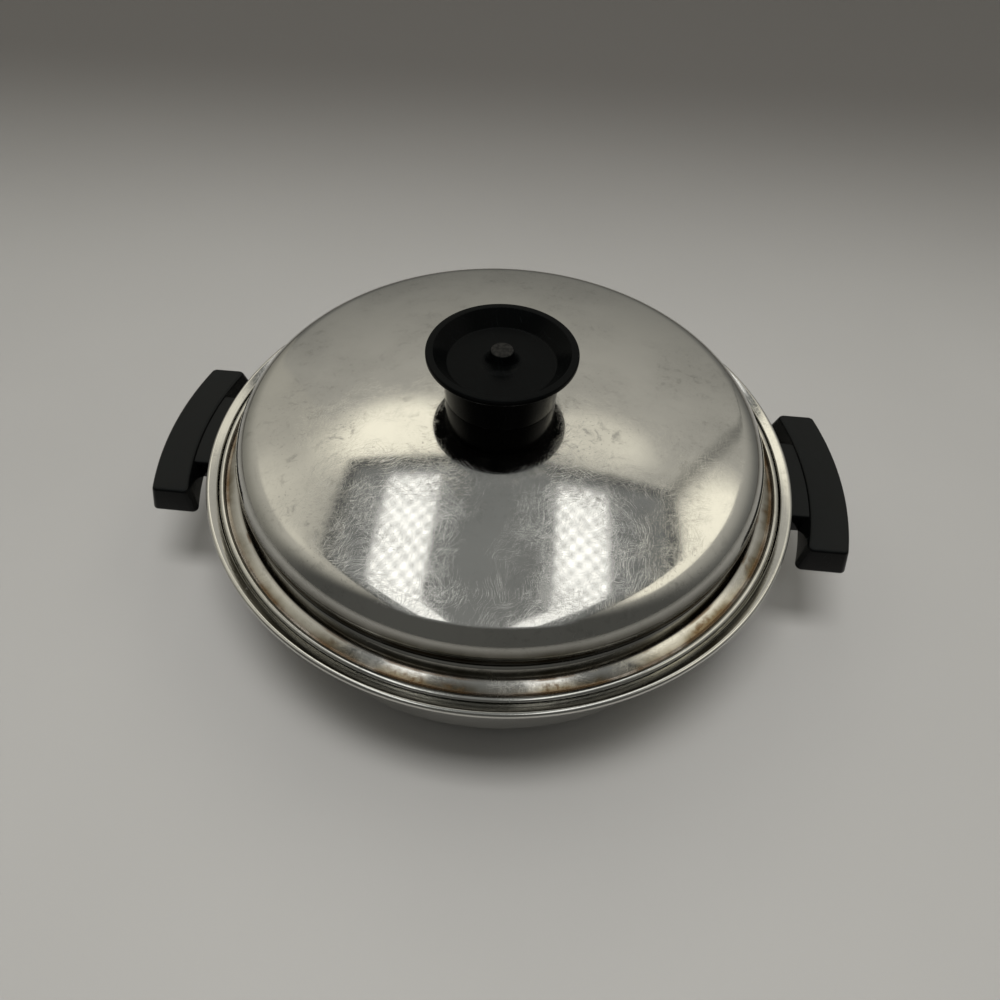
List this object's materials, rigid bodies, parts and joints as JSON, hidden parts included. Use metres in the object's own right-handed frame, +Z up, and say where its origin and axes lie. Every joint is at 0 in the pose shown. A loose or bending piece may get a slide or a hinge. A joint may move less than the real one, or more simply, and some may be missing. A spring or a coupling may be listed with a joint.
{
  "type": "electric skillet",
  "caption": "Round stainless skillet with an enclosed heating element, lift-off dome lid with a dished knob, and arc side handles.",
  "frame": {"origin": "on the table, under the middle of the pan", "axes": "+Z up, +X towards the right handle, +Y towards the socket at the back"},
  "size_m": [0.366, 0.304, 0.1444],
  "materials": {
    "pan_steel": "polished stainless, finely scratched",
    "lid_steel": "mirror-polished stainless with fine scratches and water marks",
    "bracket_steel": "polished",
    "small_steel": "dull",
    "screw_steel": "zinc plated",
    "well_steel": "drawn tube",
    "pin_plating": "nickel plated",
    "element_sheath": "heat-darkened",
    "spreader_aluminium": "matt",
    "cover_enamel": "black heat-resistant paint",
    "black_phenolic": "moulded, satin top and glossy sides",
    "foot_rubber": "matt",
    "white_ceramic": "unglazed",
    "brass_insert": "turned"
  },
  "bodies": {
    "skillet": {"pan_shell": "pan_steel", "heat_spreader": "spreader_aluminium", "heating_element": "element_sheath", "sensor_well": "well_steel", "element_clamps": "small_steel", "element_clamp_screws": "screw_steel", "base_cover": "cover_enamel", "foot_back_right": "foot_rubber", "foot_back_left": "foot_rubber", "foot_front_left": "foot_rubber", "foot_front_right": "foot_rubber", "foot_screws": "screw_steel", "foot_spacers": "small_steel", "socket_guard": "black_phenolic", "socket_guard_screws": "screw_steel", "terminal_pin_left": "pin_plating", "terminal_pin_right": "pin_plating", "terminal_insulator_left": "white_ceramic", "terminal_insulator_right": "white_ceramic", "handle_left": "black_phenolic", "handle_right": "black_phenolic", "handle_bracket_left": "bracket_steel", "handle_bracket_right": "bracket_steel", "handle_screws_left": "screw_steel", "handle_screws_right": "screw_steel", "handle_inserts_left": "brass_insert", "handle_inserts_right": "brass_insert"},
    "lid": {"lid_shell": "lid_steel", "lid_knob": "black_phenolic", "knob_insert": "brass_insert", "knob_washer": "small_steel", "knob_screw": "screw_steel"}
  },
  "joints": [
    {"name": "lid_lift", "type": "slide", "parent": "skillet", "child": "lid", "axis": [0, 0, 1], "range_m": [0, 0.12]}
  ]
}
